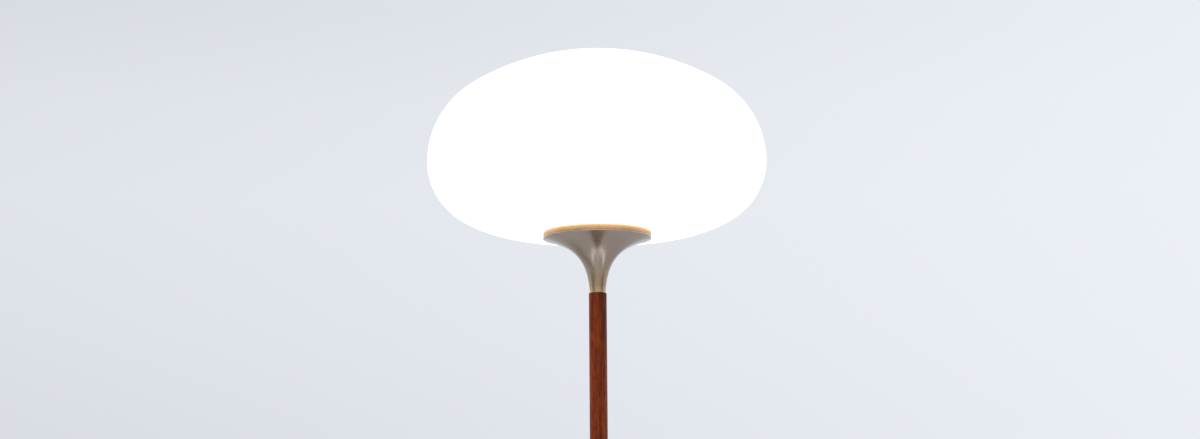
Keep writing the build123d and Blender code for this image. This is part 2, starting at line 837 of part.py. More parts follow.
def make_switch_knob():
    """Small fluted turn knob with a pointer groove across its end."""
    low = knob_bottom()
    high = low + knob_height
    knob = on_switch(knob_radius, low, high)
    end = knob.edges().filter_by(GeomType.CIRCLE).sort_by(lambda edge: (edge @ 0).Z)[0]
    knob = fillet(end, knob_edge_round)
    knob = notched(knob, knob_radius, knob_groove_count, knob_groove_radius, low, high)
    knob -= on_switch(shaft_radius + knob_bore_gap, low, high - knob_wall + slip_gap)
    mark = Box(
        knob_mark_width, knob_radius, knob_mark_depth,
        align=(Align.CENTER, Align.MIN, Align.MAX),
    )
    return knob - switch_frame() * Pos(0, 0, high) * mark


nodes = {
    "felt_pad": make_felt_pad(),
    "base_plate": make_base_plate(),
    "plate_screws": make_plate_screws(),
    "base_weight": make_base_weight(),
    "base_trumpet": make_foot(),
    "cord_bushing": make_cord_bushing(),
    "foot_washer": make_foot_washer(),
    "lock_washer": make_lock_washer(),
    "foot_nut": make_foot_nut(),
    "foot_spacer": make_foot_spacer(),
    "centre_pipe": make_centre_pipe(),
    "wood_stem": make_wood_stem(),
    "top_trumpet": make_cup(),
    "cup_bush": make_cup_bush(),
    "cup_washer": make_cup_washer(),
    "cup_locknut": make_cup_locknut(),
    "gallery_ring": make_gallery_ring(),
    "ring_rivets": make_ring_rivets(),
    "shade_gasket": make_shade_gasket(),
    "glass_shade": make_glass_shade(),
    "socket_cap": make_socket_cap(),
    "hub_screw": make_hub_screw(),
    "socket_shell": make_socket_shell(),
    "socket_liner": make_socket_liner(),
    "socket_body": make_socket_body(),
    "terminal_screws": make_terminal_screws(),
    "screw_shell": make_screw_shell(),
    "centre_contact": make_centre_contact(),
    "bulb_contact": make_bulb_contact(),
    "bulb_insulator": make_bulb_insulator(),
    "bulb_cap": make_bulb_cap(),
    "bulb_glass": make_bulb_glass(),
    "switch_body": make_switch_body(),
    "switch_stub": make_switch_stub(),
    "switch_nut": make_switch_nut(),
    "switch_shaft": make_switch_shaft(),
    "switch_knob": make_switch_knob(),
}

for name, piece in nodes.items():
    export_step(piece, f"parts/{name}.step")

switch_axis = switch_frame().z_dir
print(f"rim plane {rim_plane:.2f}, top of glass {shade_widest + crown_height:.2f}")
print(f"switch seat {switch_frame().origin}, axis {switch_axis}")
print(f"bulb from {bulb_bottom:.2f} to {bulb_top:.2f}, socket mouth {shell_top:.2f}")
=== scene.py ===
import json
import math

import bpy
import numpy as np
from mathutils import Matrix, Vector


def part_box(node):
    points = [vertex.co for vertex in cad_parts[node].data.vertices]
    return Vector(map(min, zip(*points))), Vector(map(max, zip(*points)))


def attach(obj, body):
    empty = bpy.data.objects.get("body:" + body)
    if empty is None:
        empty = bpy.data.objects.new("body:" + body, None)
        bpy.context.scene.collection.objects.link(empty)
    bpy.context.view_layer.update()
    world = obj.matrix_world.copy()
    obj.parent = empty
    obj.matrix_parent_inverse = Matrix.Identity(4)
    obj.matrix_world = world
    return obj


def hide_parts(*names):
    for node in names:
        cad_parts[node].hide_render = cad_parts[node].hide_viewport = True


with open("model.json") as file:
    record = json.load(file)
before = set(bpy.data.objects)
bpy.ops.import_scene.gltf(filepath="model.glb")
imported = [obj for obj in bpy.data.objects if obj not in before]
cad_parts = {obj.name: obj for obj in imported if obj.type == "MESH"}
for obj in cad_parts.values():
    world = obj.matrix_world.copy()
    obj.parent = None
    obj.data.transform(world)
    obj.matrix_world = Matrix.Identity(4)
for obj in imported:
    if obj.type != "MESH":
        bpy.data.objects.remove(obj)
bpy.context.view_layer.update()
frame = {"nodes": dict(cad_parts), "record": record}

# Mushroom floor lamp: a glowing opal shade on a spun nickel cup, a slim wooden stem and a spun nickel foot.
# Metres, +Z up, origin on the floor under the middle of the foot; the front faces -Y.

mm = 0.001
nodes = frame["nodes"]
print("frame loaded:", len(nodes), "nodes")


# Colours and shader nodes

noiseMiddle = (0.3, 0.7)    # most of a noise lies between these


def linear(code):
    # sRGB hex to linear light: a straight line near black, else a power of 2.4
    parts = [int(code[i:i + 2], 16) / 255 for i in (0, 2, 4)]
    return tuple(p / 12.92 if p <= 0.04045 else ((p + 0.055) / 1.055) ** 2.4 for p in parts) + (1.0,)


def addNode(tree, kind, sockets=(), ramp=(), **settings):
    # adds a node. Its sockets are given by name, or as a list in the order that they show. A value is a
    # number, a vector, a hex colour, an output, or another node, which gives its first output that shows.
    # A ramp has (place, hex) stops.
    node = tree.nodes.new("ShaderNode" + kind)
    for name, value in settings.items():
        setattr(node, name, value)
    if isinstance(sockets, dict):
        pairs = [(node.inputs[name], value) for name, value in sockets.items()]
    else:
        pairs = zip([socket for socket in node.inputs if socket.enabled], sockets)
    for socket, value in pairs:
        if isinstance(value, bpy.types.Node):
            value = next(output for output in value.outputs if output.enabled)
        if isinstance(value, bpy.types.NodeSocket):
            tree.links.new(value, socket)
        else:
            socket.default_value = linear(value) if isinstance(value, str) else value
    for count, (place, code) in enumerate(ramp):
        stops = node.color_ramp.elements
        stop = stops[count] if count < 2 else stops.new(place)
        stop.position = place
        stop.color = linear(code)
    return node


def startMaterial(name):
    # an empty material, and the object coordinates that every pattern follows
    material = bpy.data.materials.new(name)
    material.use_nodes = True
    tree = material.node_tree
    tree.nodes.clear()
    return material, tree, addNode(tree, "TexCoord").outputs["Object"]


def endMaterial(material, sockets):
    # its shader, with every socket that this material sets
    shader = addNode(material.node_tree, "BsdfPrincipled", sockets)
    addNode(material.node_tree, "OutputMaterial", [shader])
    return material


def radiusOf(tree, place):
    # distance from the lamp's axis: the length of x and y alone
    level = addNode(tree, "VectorMath", [place, (1, 1, 0)], operation="MULTIPLY")
    return addNode(tree, "VectorMath", [level], operation="LENGTH")


def ringLines(tree, place, spacing, run):
    # lines round the axis: noise that changes fast with radius and height, and slowly along the line
    x, y, z = addNode(tree, "SeparateXYZ", [place]).outputs
    along = addNode(tree, "Math", [x, y], operation="ADD")
    lines = addNode(tree, "CombineXYZ", [
        addNode(tree, "Math", [radiusOf(tree, place), 1 / spacing], operation="MULTIPLY"),
        addNode(tree, "Math", [z, 1 / spacing], operation="MULTIPLY"),
        addNode(tree, "Math", [along, 1 / run], operation="MULTIPLY"),
    ])
    return addNode(tree, "TexNoise", {"Vector": lines, "Scale": 1.0, "Detail": 3.0, "Roughness": 0.7})


def brushedSockets(tree, lines, look):
    # sockets of a metal brushed round the axis: its lines stand out a little and draw its glints out
    return {
        "Metallic": 1.0,
        "Anisotropic": look["drawnOut"],
        "Anisotropic Rotation": 0.25,   # a quarter turn, so that a glint runs across the lines
        "Tangent": addNode(tree, "Tangent", direction_type="RADIAL", axis="Z"),
        "Normal": addNode(tree, "Bump", {
            "Height": lines, "Distance": look["lineDepth"], "Strength": look["lineStrength"],
        }),
    }


# Materials, each named for the real stuff and how its surface was made

def brushedNickel():
    # Spun sheet, nickel plated and brushed on the lathe: a dull grey whose glints are drawn out along the
    # flare, because the brush lines run round it, and yellower at the narrow necks. A darker olive painted
    # reflection of the darker room runs down the cup's left flank, and a painted highlight lightens its
    # lowest edge against the wood. Real lines are 0.1 mm apart, drawn at 0.4 mm to show.
    look = {
        "light": "afa59f", "dark": "a39994", "drawnOut": 0.8,
        "neckYellow": "b19e8a", "yellowWithin": 9.5 * mm, "greyBeyond": 17 * mm,
        "lineSpacing": 0.4 * mm, "lineRun": 90 * mm, "lineDepth": 0.005 * mm, "lineStrength": 0.5,
        "haze": 30 * mm, "hazeShare": 0.5, "roughness": (0.2, 0.28),
        # painted reflection: an olive band down the left flank, for the darker room it mirrors
        "paintedReflection": "857b6b", "reflectionHalfWidth": 0.36,
        "reflectionTurn": (0.38, 0.87), "reflectionBends": (1114 * mm, 1130 * mm),
        "reflectionStarts": (1096 * mm, 1106 * mm), "reflectionFades": (1136 * mm, 1147 * mm), "reflectionShare": (0.8, 0.25),
        # painted highlight: a lighter band along the cup's lowest edge, against the wood
        "paintedEdgeHighlight": "d2bf9f", "edgeHighlightHeight": 8 * mm,
    }
    material, tree, place = startMaterial("brushedNickelPlate")
    lines = ringLines(tree, place, look["lineSpacing"], look["lineRun"])
    haze = addNode(tree, "TexNoise", {"Vector": place, "Scale": 1 / look["haze"], "Detail": 3})
    wear = addNode(tree, "Mix", [look["hazeShare"], lines, haze])
    lightShare = addNode(tree, "MapRange", [wear, *noiseMiddle, 0, 1])
    tone = addNode(tree, "Mix", [lightShare, look["dark"], look["light"]], data_type="RGBA")
    # yellower towards the narrow necks, fading out between two radii
    nearNeck = addNode(tree, "MapRange", [
        radiusOf(tree, place), look["yellowWithin"], look["greyBeyond"], 1, 0,
    ])
    tone = addNode(tree, "Mix", [nearNeck, tone, look["neckYellow"]], data_type="RGBA")
    # painted reflection of the darker room, olive on the cup's left flank
    tone = addNode(tree, "Mix", [paintedReflectionOn(tree, place, look), tone, look["paintedReflection"]], data_type="RGBA")
    # painted highlight along the cup's lowest edge
    tone = addNode(tree, "Mix", [paintedEdgeHighlightOn(tree, place, look), tone, look["paintedEdgeHighlight"]], data_type="RGBA")
    return endMaterial(material, {
        **brushedSockets(tree, lines, look),
        "Base Color": tone,
        "Roughness": addNode(tree, "MapRange", [wear, *noiseMiddle, *look["roughness"]]),
        "Coat Weight": 0.1,
        "Coat Roughness": 0.3,
    })


def paintedReflectionOn(tree, place, look):
    # share of the painted reflection: most at a middle that bends from the neck's angle to the flare's,
    # in radians left of the front, and less to both sides of it, towards the rim and just above the wood
    x, y, z = addNode(tree, "SeparateXYZ", [place]).outputs
    left = addNode(tree, "Math", [x, -1], operation="MULTIPLY")
    ahead = addNode(tree, "Math", [y, -1], operation="MULTIPLY")
    turn = addNode(tree, "Math", [left, ahead], operation="ARCTAN2")
    middle = addNode(tree, "MapRange", [z, *look["reflectionBends"], *look["reflectionTurn"]])
    fromMiddle = addNode(tree, "Math", [turn, middle], operation="SUBTRACT")
    off = addNode(tree, "Math", [fromMiddle], operation="ABSOLUTE")
    across = addNode(tree, "MapRange", [off, 0, look["reflectionHalfWidth"], 1, 0])
    starts = addNode(tree, "MapRange", [z, *look["reflectionStarts"], 0, 1])
    fades = addNode(tree, "MapRange", [z, *look["reflectionFades"], *look["reflectionShare"]])
    begun = addNode(tree, "Math", [across, starts], operation="MULTIPLY")
    return addNode(tree, "Math", [begun, fades], operation="MULTIPLY")


def paintedEdgeHighlightOn(tree, place, look):
    # share of the painted highlight: full at the cup's foot, and gone at its height above or below it
    height = addNode(tree, "SeparateXYZ", [place]).outputs["Z"]
    fromFoot = addNode(tree, "Math", [height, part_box("top_trumpet")[0].z], operation="SUBTRACT")
    off = addNode(tree, "Math", [fromFoot], operation="ABSOLUTE")
    return addNode(tree, "MapRange", [off, 0, look["edgeHighlightHeight"], 1, 0])


def satinBrass():
    # Drawn brass, satin lacquered: a pale gold with a dull gleam and faint lines round it.
    look = {
        "light": "d2ab7c", "dark": "bd9666", "stain": 6 * mm, "roughness": (0.38, 0.5), "drawnOut": 0.3,
        "lineSpacing": 0.4 * mm, "lineRun": 40 * mm, "lineDepth": 0.01 * mm, "lineStrength": 0.4,
    }
    material, tree, place = startMaterial("satinLacqueredBrass")
    lines = ringLines(tree, place, look["lineSpacing"], look["lineRun"])
    stain = addNode(tree, "TexNoise", {"Vector": place, "Scale": 1 / look["stain"], "Detail": 4})
    darkShare = addNode(tree, "MapRange", [stain, *noiseMiddle, 0, 1])
    return endMaterial(material, {
        **brushedSockets(tree, lines, look),
        "Base Color": addNode(tree, "Mix", [darkShare, look["light"], look["dark"]], data_type="RGBA"),
        "Roughness": addNode(tree, "MapRange", [lines, *noiseMiddle, *look["roughness"]]),
    })


def paintedGlowBrass():
    # The lacquered brass ring under the glass, painted with the shade's glow: pale amber at its top edge,
    # browner towards the cup, in faint pink and yellow patches, with one dark scuff at the front.
    look = {
        # painted glow of the shade: pale at the top edge, browner towards the cup
        "fade": [(0.0, "98836e"), (1.0, "fff0c8"), (0.2, "a88e72"), (0.42, "bb976f"), (0.62, "d2a578"),
                 (0.78, "e8b986"), (0.9, "fcdcaa")],
        "unevenFade": 0.08, "pinkish": "d8a58c",
        "patch": 9 * mm, "patchShare": 0.35, "pinkFrom": (0.45, 0.7),
        "roughness": (0.4, 0.52), "drawnOut": 0.3,
        "lineSpacing": 0.4 * mm, "lineRun": 40 * mm, "lineDepth": 0.01 * mm, "lineStrength": 0.4,
        "scuff": "4c4630", "scuffPlace": (-21.8 * mm, -59.2 * mm, 1152.5 * mm),
        "scuffSize": (8 * mm, 8 * mm, 1.7 * mm), "scuffCrumb": 1.5 * mm, "scuffRagged": 0.3,
        "scuffFades": (0.35, 1.0), "scuffShare": 0.85,
    }
    material, tree, place = startMaterial("lacquerBrassPaintedGlow")
    low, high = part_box("gallery_ring")
    lines = ringLines(tree, place, look["lineSpacing"], look["lineRun"])
    patches = addNode(tree, "TexNoise", {"Vector": place, "Scale": 1 / look["patch"], "Detail": 3})
    uneven = addNode(tree, "MapRange", [patches, *noiseMiddle, -look["unevenFade"], look["unevenFade"]])
    height = addNode(tree, "SeparateXYZ", [place]).outputs["Z"]
    # the painted glow of the shade, lighter upwards and made a little uneven by the patches
    upwards = addNode(tree, "MapRange", [height, low.z, high.z, 0, 1])
    faded = addNode(tree, "Math", [upwards, uneven], operation="ADD")
    tone = addNode(tree, "ValToRGB", [faded], ramp=look["fade"])
    pinks = addNode(tree, "MapRange", [patches, *look["pinkFrom"], 0, look["patchShare"]])
    tone = addNode(tree, "Mix", [pinks, tone, look["pinkish"]], data_type="RGBA")
    tone = addNode(tree, "Mix", [scuffOn(tree, place, look), tone, look["scuff"]], data_type="RGBA")
    return endMaterial(material, {
        **brushedSockets(tree, lines, look),
        "Base Color": tone,
        "Roughness": addNode(tree, "MapRange", [patches, *noiseMiddle, *look["roughness"]]),
    })


def scuffOn(tree, place, look):
    # share of the scuff: full inside a third of its size, gone at its edge, broken up by noise
    away = addNode(tree, "VectorMath", [place, look["scuffPlace"]], operation="SUBTRACT")
    sized = addNode(tree, "VectorMath", [away, look["scuffSize"]], operation="DIVIDE")
    reach = addNode(tree, "VectorMath", [sized], operation="LENGTH")
    crumbs = addNode(tree, "TexNoise", {"Vector": place, "Scale": 1 / look["scuffCrumb"], "Detail": 3})
    ragged = addNode(tree, "MapRange", [crumbs, *noiseMiddle, -look["scuffRagged"], look["scuffRagged"]])
    edge = addNode(tree, "Math", [reach, ragged], operation="ADD")
    return addNode(tree, "MapRange", [edge, *look["scuffFades"], look["scuffShare"], 0])


def pressedBrass():
    # Bright pressed brass of a lamp socket: yellow, fairly glossy, with rub marks and a little tarnish.
    look = {
        "bright": "dfba78", "tarnish": "a8834a",
        "patch": 5 * mm, "patchShare": 0.7, "patchFrom": (0.45, 0.75),
        "roughness": (0.2, 0.4), "rubSpacing": 0.5 * mm, "rubRun": 12 * mm, "rubDepth": 0.015 * mm,
        "rubStrength": 0.5,
    }
    material, tree, place = startMaterial("brightPressedBrass")
    patches = addNode(tree, "TexNoise", {"Vector": place, "Scale": 1 / look["patch"], "Detail": 5})
    rubs = ringLines(tree, place, look["rubSpacing"], look["rubRun"])
    tarnished = addNode(tree, "MapRange", [patches, *look["patchFrom"], 0, look["patchShare"]])
    return endMaterial(material, {
        "Metallic": 1.0,
        "Base Color": addNode(tree, "Mix", [tarnished, look["bright"], look["tarnish"]], data_type="RGBA"),
        "Roughness": addNode(tree, "MapRange", [patches, *noiseMiddle, *look["roughness"]]),
        "Normal": addNode(tree, "Bump", {
            "Height": rubs, "Distance": look["rubDepth"], "Strength": look["rubStrength"],
        }),
    })


def alongGrain(tree, place, size, detail, distortion):
    # noise stretched up the stem: its size is a width and a length
    width, length = size
    stretched = addNode(tree, "Mapping", {"Vector": place, "Scale": (1 / width, 1 / width, 1 / length)})
    return addNode(tree, "TexNoise", {
        "Vector": stretched, "Scale": 1.0, "Detail": detail, "Distortion": distortion,
    })


def oiledWood():
    # Turned red-brown hardwood, oiled: orange and dark streaks along the stem, a wavy mottle across them,
    # fine grain, short open pores and a low sheen. Pores are 0.1 mm wide, drawn at 0.5 mm to show.
    look = {
        "figure": (8 * mm, 170 * mm), "mottle": (4.5 * mm, 18 * mm), "mottleShare": 0.42,
        "grain": (1.4 * mm, 60 * mm), "grainShare": 0.3, "pore": (0.5 * mm, 8 * mm),
        "ramp": [(0.34, "301105"), (0.68, "9f450c"), (0.43, "511d07"), (0.51, "6a2808"), (0.59, "82340a")],
        "poreColour": "2b0f07", "poreShare": 0.8, "poreFrom": (0.6, 0.72), "poreDepth": 0.05 * mm,
        "poreStrength": 0.6, "roughness": (0.36, 0.5),
    }
    material, tree, place = startMaterial("oiledRedBrownWood")
    figure = alongGrain(tree, place, look["figure"], 2.0, 0.6)
    mottle = alongGrain(tree, place, look["mottle"], 2.0, 0.8)
    grain = alongGrain(tree, place, look["grain"], 4.0, 0.2)
    pores = alongGrain(tree, place, look["pore"], 1.0, 0.0)
    streaks = addNode(tree, "Mix", [look["mottleShare"], figure, mottle])
    streaks = addNode(tree, "Mix", [look["grainShare"], streaks, grain])
    body = addNode(tree, "ValToRGB", [streaks], ramp=look["ramp"])
    pits = addNode(tree, "MapRange", [pores, *look["poreFrom"], 0, look["poreShare"]])
    height = addNode(tree, "Math", [grain, pits], operation="SUBTRACT")
    return endMaterial(material, {
        "IOR": 1.46,
        "Specular IOR Level": 0.24,
        "Base Color": addNode(tree, "Mix", [pits, body, look["poreColour"]], data_type="RGBA"),
        "Roughness": addNode(tree, "MapRange", [grain, *noiseMiddle, *look["roughness"]]),
        "Normal": addNode(tree, "Bump", {
            "Height": height, "Distance": look["poreDepth"], "Strength": look["poreStrength"],
        }),
    })


def litOpalGlass():
    # Blown glass cased in opal white, lit from inside: it glows so evenly that it hides its own shape.
    # The light is a soft warm white, just strong enough to pass white on every channel.
    look = {
        "white": "fbf7ee", "warm": "f4ecdc", "casing": 45 * mm, "seeds": 1.5 * mm, "roughness": (0.14, 0.2),
        "light": "fffaf1", "strength": (1.16, 1.2296),
    }
    material, tree, place = startMaterial("litOpalGlass")
    casing = addNode(tree, "TexNoise", {"Vector": place, "Scale": 1 / look["casing"], "Detail": 3})
    seeds = addNode(tree, "TexNoise", {"Vector": place, "Scale": 1 / look["seeds"], "Detail": 1})
    warmShare = addNode(tree, "MapRange", [casing, *noiseMiddle, 0, 1])
    return endMaterial(material, {
        "IOR": 1.52,
        "Base Color": addNode(tree, "Mix", [warmShare, look["white"], look["warm"]], data_type="RGBA"),
        "Roughness": addNode(tree, "MapRange", [seeds, *noiseMiddle, *look["roughness"]]),
        "Emission Color": look["light"],
        "Emission Strength": addNode(tree, "MapRange", [casing, *noiseMiddle, *look["strength"]]),
    })


def litFrostedGlass():
    # Acid-frosted bulb glass with the lamp on: brightest round the middle of the globe, dimmer at the neck.
    look = {
        "white": "f6f2ea", "grey": "ebe5d9", "light": "ffcb9c", "neckToMiddle": (2.5, 9.0),
        "frost": 0.6 * mm, "frostDepth": 0.03 * mm, "frostStrength": 0.4, "roughness": (0.45, 0.6),
    }
    material, tree, place = startMaterial("litFrostedGlass")
    low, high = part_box("bulb_glass")
    frost = addNode(tree, "TexNoise", {"Vector": place, "Scale": 1 / look["frost"], "Detail": 2})
    height = addNode(tree, "SeparateXYZ", [place]).outputs["Z"]
    glow = addNode(tree, "MapRange", [height, low.z, (low.z + high.z) / 2, *look["neckToMiddle"]])
    return endMaterial(material, {
        "IOR": 1.5,
        "Base Color": addNode(tree, "Mix", [frost, look["white"], look["grey"]], data_type="RGBA"),
        "Roughness": addNode(tree, "MapRange", [frost, *noiseMiddle, *look["roughness"]]),
        "Emission Color": look["light"],
        "Emission Strength": glow,
        "Normal": addNode(tree, "Bump", {
            "Height": frost, "Distance": look["frostDepth"], "Strength": look["frostStrength"],
        }),
    })


def mottled(name, sockets, light, dark, patch, roughness, grainSize, grainDepth):
    # a plain industrial finish: two close tones in patches, an uneven gloss and a fine grain
    material, tree, place = startMaterial(name)
    patches = addNode(tree, "TexNoise", {"Vector": place, "Scale": 1 / patch, "Detail": 4})
    grain = addNode(tree, "TexNoise", {"Vector": place, "Scale": 1 / grainSize, "Detail": 3})
    darkShare = addNode(tree, "MapRange", [patches, *noiseMiddle, 0, 1])
    return endMaterial(material, {
        **sockets,
        "Base Color": addNode(tree, "Mix", [darkShare, light, dark], data_type="RGBA"),
        "Roughness": addNode(tree, "MapRange", [patches, *noiseMiddle, *roughness]),
        "Normal": addNode(tree, "Bump", {"Height": grain, "Distance": grainDepth, "Strength": 0.7}),
    })


finishes = {
    "brushed_nickel": brushedNickel(),
    "satin_brass": satinBrass(),
    "socket_brass": pressedBrass(),
    "oiled_wood": oiledWood(),
    "opal_glass": litOpalGlass(),
    "frosted_glass": litFrostedGlass(),
    # zinc plate on steel: cool grey, faint clouds
    "zinc_steel": mottled(
        "zincPlatedSteel", {"Metallic": 1.0}, "b9bbb9", "9fa2a2",
        4 * mm, (0.3, 0.45), 0.4 * mm, 0.02 * mm,
    ),
    # black paint over a sand casting: dull and pebbled
    "cast_iron": mottled(
        "paintedSandCasting", {}, "2d2d2e", "1c1c1d",
        14 * mm, (0.5, 0.7), 1.6 * mm, 0.3 * mm,
    ),
    # pressed wool felt: matt, hairy, with a pale bloom at its edges
    "felt": mottled(
        "greenWoolFelt", {"Sheen Weight": 0.6, "Sheen Roughness": 0.5}, "2f4a33", "233a28",
        9 * mm, (0.9, 1.0), 0.5 * mm, 0.3 * mm,
    ),
    # moulded nylon: black, evenly dull from the mould's texture
    "black_bushing": mottled(
        "blackMouldedNylon", {"IOR": 1.53}, "1f1f20", "161617",
        3 * mm, (0.38, 0.5), 0.3 * mm, 0.03 * mm,
    ),
    # silicone rubber: pale, soft gloss, a little dust
    "gasket_rubber": mottled(
        "paleSiliconeRubber", {"IOR": 1.41, "Subsurface Weight": 0.2, "Subsurface Scale": 1.5 * mm},
        "dcd6c8", "cbc3b2", 5 * mm, (0.4, 0.6), 0.5 * mm, 0.03 * mm,
    ),
    # vulcanised fibre: grey-brown paper board, fibrous
    "fibre": mottled(
        "vulcanisedFibre", {}, "6b5c4e", "54473b",
        2 * mm, (0.6, 0.8), 0.25 * mm, 0.04 * mm,
    ),
    # phenolic moulding: brown-black, glossy, with darker wood-flour flecks
    "phenolic": mottled(
        "brownPhenolicMoulding", {"IOR": 1.6}, "2b211b", "1a1411",
        1.2 * mm, (0.16, 0.3), 0.8 * mm, 0.01 * mm,
    ),
    # thin rolled sheet, nickel plated: pale and fairly bright, rubbed at the thread
    "cap_metal": mottled(
        "rolledNickelCap", {"Metallic": 1.0}, "cfcac0", "b0aaa0",
        3 * mm, (0.2, 0.34), 0.3 * mm, 0.02 * mm,
    ),
    # solder: dull grey, lumpy where it froze
    "solder": mottled(
        "frozenSolder", {"Metallic": 1.0}, "b4b4b1", "8e8e8c",
        1.5 * mm, (0.35, 0.55), 1.1 * mm, 0.12 * mm,
    ),
    # black-purple glass bead: wet gloss, slight waves
    "insulator_glass": mottled(
        "darkInsulatorGlass", {"IOR": 1.52}, "17111f", "0d0a12",
        2 * mm, (0.05, 0.12), 2.5 * mm, 0.05 * mm,
    ),
}
# the brass ring, with the glow of the shade painted on
paintedGlowRing = paintedGlowBrass()
print("materials made:", len(finishes) + 1)


# Turned and threaded surfaces

samePlace = 1e-7    # metres: outline points nearer than this are one
onAxis = 1e-6       # metres: an outline point nearer to the axis than this is a pole


def arcPath(centre, radius, start, end, count):
    # points on an arc: centre plus radius times cosine and sine of the angle, in degrees
    angle = np.radians(np.linspace(start, end, count))
    return np.stack([centre[0] + radius * np.cos(angle), centre[1] + radius * np.sin(angle)], axis=1)


def straightPath(first, last, count=2):
    # points on a line: one less the share of the first, plus the share of the last
    share = np.linspace(0, 1, count)[:, None]
    return np.array(first) * (1 - share) + np.array(last) * share


def trimmed(path, startCut, endCut):
    # the path without a length at either end; its new ends are found by length along it
    steps = np.linalg.norm(np.diff(path, axis=0), axis=1)
    along = np.concatenate([[0.0], np.cumsum(steps)])
    cuts = [startCut, along[-1] - endCut]
    ends = [[np.interp(cut, along, path[:, axis]) for axis in (0, 1)] for cut in cuts]
    slack = 0.001       # share of a cut within which a point would crowd the new end
    inside = (along > cuts[0] * (1 + slack)) & (along < cuts[1] * (1 - slack))
    return np.vstack([ends[0], path[inside], ends[1]])


def roundedOutline(paths, rounds, steps=6):
    # joins paths end to end; the corner after each is cut back by its round and bridged by a quadratic
    # curve: (1-t)^2 of its start, 2t(1-t) of the corner and t^2 of its end. As many rounds as paths
    # closes it.
    count = len(paths)
    closed = len(rounds) == count
    cutBack = [
        trimmed(path, rounds[i - 1] if i or closed else 0, rounds[i] if i < len(rounds) else 0)
        for i, path in enumerate(paths)
    ]
    t = np.linspace(0, 1, steps + 1)[1:-1, None]
    chain = []
    for i, path in enumerate(cutBack):
        chain.append(path)
        if i < len(rounds) and rounds[i] > 0:
            corner = paths[i][-1]
            after = cutBack[(i + 1) % count][0]
            chain.append((1 - t) ** 2 * path[-1] + 2 * t * (1 - t) * corner + t ** 2 * after)
    points = np.vstack(chain)
    fresh = np.linalg.norm(points - np.roll(points, 1, axis=0), axis=1) > samePlace
    fresh[0] = True
    return points[fresh]


def turnedSurface(outline, sides, shape=None):
    # a grid of outline points by angles: x is radius times cosine, y radius times sine, z the height.
    # shape(radius, height, angle) may change radius and height first. An outline that ends on the axis
    # closes there in a point, and any other closes on itself.
    angle = np.arange(sides) * (2 * np.pi / sides)
    radius, turn = np.meshgrid(outline[:, 0], angle, indexing="ij")
    height = np.repeat(outline[:, 1:2], sides, axis=1)
    poles = outline[:, 0] < onAxis
    if shape:
        radius, height = shape(radius, height, turn)
    points = np.stack([radius * np.cos(turn), radius * np.sin(turn), height], axis=-1).reshape(-1, 3)
    rows = np.arange(len(outline) - 1 if poles.any() else len(outline))
    above = (rows + 1) % len(outline)
    here = np.arange(sides)
    onward = (here + 1) % sides
    own = np.arange(len(points))
    single = np.where(np.repeat(poles, sides), own // sides * sides, own)
    a, b, c, d = [
        single[row[:, None] * sides + side]
        for row, side in ((rows, here), (rows, onward), (above, onward), (above, here))
    ]
    quads = ~(poles[rows] | poles[above])
    lowPole = poles[rows]
    highPole = poles[above]
    groups = [
        np.stack([a[quads], b[quads], c[quads], d[quads]], axis=-1).reshape(-1, 4),
        np.stack([a[lowPole], c[lowPole], d[lowPole]], axis=-1).reshape(-1, 3),
        np.stack([a[highPole], b[highPole], c[highPole]], axis=-1).reshape(-1, 3),
    ]
    # a pole keeps one point of its row, and the others go
    used = np.unique(np.concatenate([group.ravel() for group in groups]))
    faces = [face for group in groups for face in np.searchsorted(used, group).tolist()]
    return points[used], faces


def addPiece(name, surface, body, slot, replaced, crease=40):
    # puts a surface in the scene as a smooth piece that stands for a node, with sharp edges past the crease
    points, faces = surface
    mesh = bpy.data.meshes.new(name)
    mesh.from_pydata(points.tolist(), [], faces)
    mesh.shade_smooth()
    mesh.set_sharp_from_angle(angle=math.radians(crease))
    mesh.materials.append(finishes[slot])
    piece = bpy.data.objects.new(name, mesh)
    bpy.context.scene.collection.objects.link(piece)
    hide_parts(replaced)
    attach(piece, body)
    print("made", name, len(faces), "faces")
    return piece


# Glass shade

shadeForm = {
    "wall": 3.2 * mm,
    "crownHeight": 128.8 * mm,      # widest circle to the top
    "crownShoulder": 101.4 * mm,    # radius of the arc above the widest circle
    "bellyDepth": 83.8 * mm,        # widest circle to the lowest ring
    "bellyShoulder": 74.3 * mm,     # radius of the arc below the widest circle
    "bellyLowRadius": 88.0 * mm,
    "neckRadius": 61.1 * mm,
    "outerCorner": 1.2 * mm,
    "innerCorner": 3.5 * mm,
    "endRound": 1.5 * mm,
    "sides": 224,
    "blownSwell": 0.25 * mm,        # how far hand blowing leaves it out of round, inwards only
    "swellFrom": 40 * mm,           # past the neck, where that is full
    # the two waves of it: turns round the glass, radians per metre of height, and where it starts
    "waves": ((3, 40.0, 0.0), (5, -23.0, 1.3)),
}


def touchingArc(reach, height, shoulder):
    # radius of the long arc that touches a shoulder arc, from the reach and height of the pair
    return ((reach - shoulder) ** 2 + height ** 2 - shoulder ** 2) / (2 * (height - shoulder))


